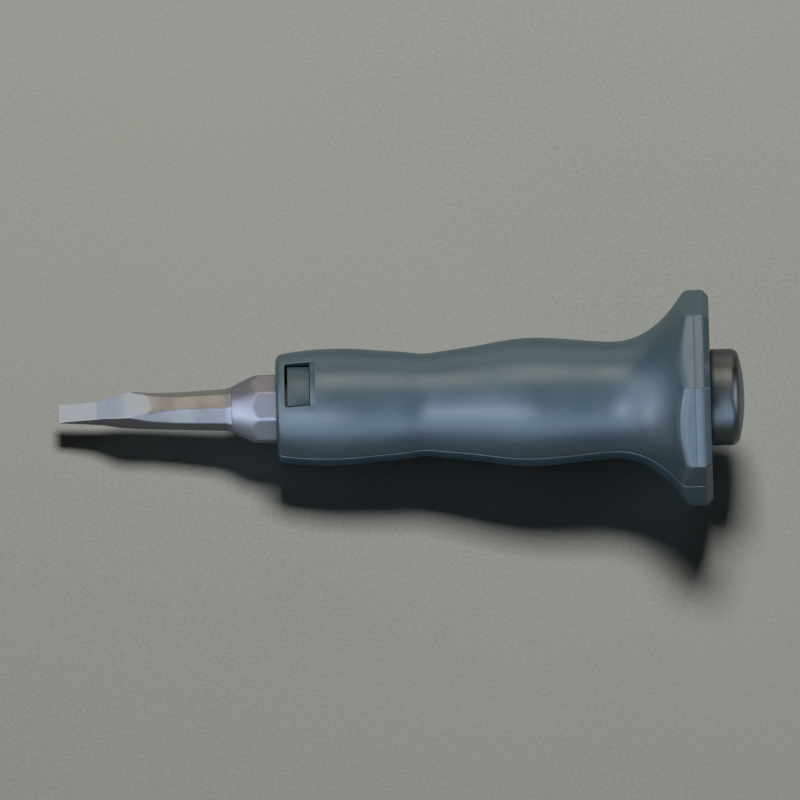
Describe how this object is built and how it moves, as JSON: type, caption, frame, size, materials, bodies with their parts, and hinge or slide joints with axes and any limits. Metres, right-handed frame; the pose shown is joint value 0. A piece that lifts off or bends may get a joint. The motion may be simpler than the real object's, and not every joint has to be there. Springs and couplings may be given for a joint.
{
  "type": "cold chisel",
  "caption": "Cold chisel with a narrow forged blade that unplugs, a moulded finger grip, an octagonal hand guard, a release button and a round struck head.",
  "frame": {"origin": "the middle of the struck face, on the tool's axis", "axes": "+X along the tool from the blade to the struck head, +Z through the release button"},
  "size_m": [0.2003, 0.0586, 0.0586],
  "materials": {
    "blade_steel": "ground and polished forging",
    "core_steel": "dark satin",
    "grip_plastic": "dark blue-grey satin moulding",
    "button_plastic": "dark blue-grey satin moulding",
    "spring_steel": "drawn wire",
    "elastomer": "matt",
    "screw_steel": "zinc plated"
  },
  "bodies": {
    "holder": {"striking_core": "core_steel", "grip_shell_top": "grip_plastic", "grip_shell_bottom": "grip_plastic", "guard_cover": "grip_plastic", "button_springs": "spring_steel", "retaining_clip": "spring_steel", "nose_ring": "elastomer", "core_dampers": "elastomer", "head_damper": "elastomer", "shell_screws": "screw_steel", "cover_screws": "screw_steel"},
    "blade": {"chisel_blade": "blade_steel"},
    "button": {"release_button": "button_plastic"}
  },
  "joints": [
    {"name": "blade_pull", "type": "slide", "parent": "holder", "child": "blade", "axis": [-1, 0, 0], "range_m": [0, 0.036]},
    {"name": "button_press", "type": "slide", "parent": "holder", "child": "button", "axis": [0, 0, -1], "range_m": [0, 0.0015], "stiffness_N_per_m": 800, "springref_m": -0.0015, "deforming": ["button_springs", "retaining_clip"]}
  ]
}
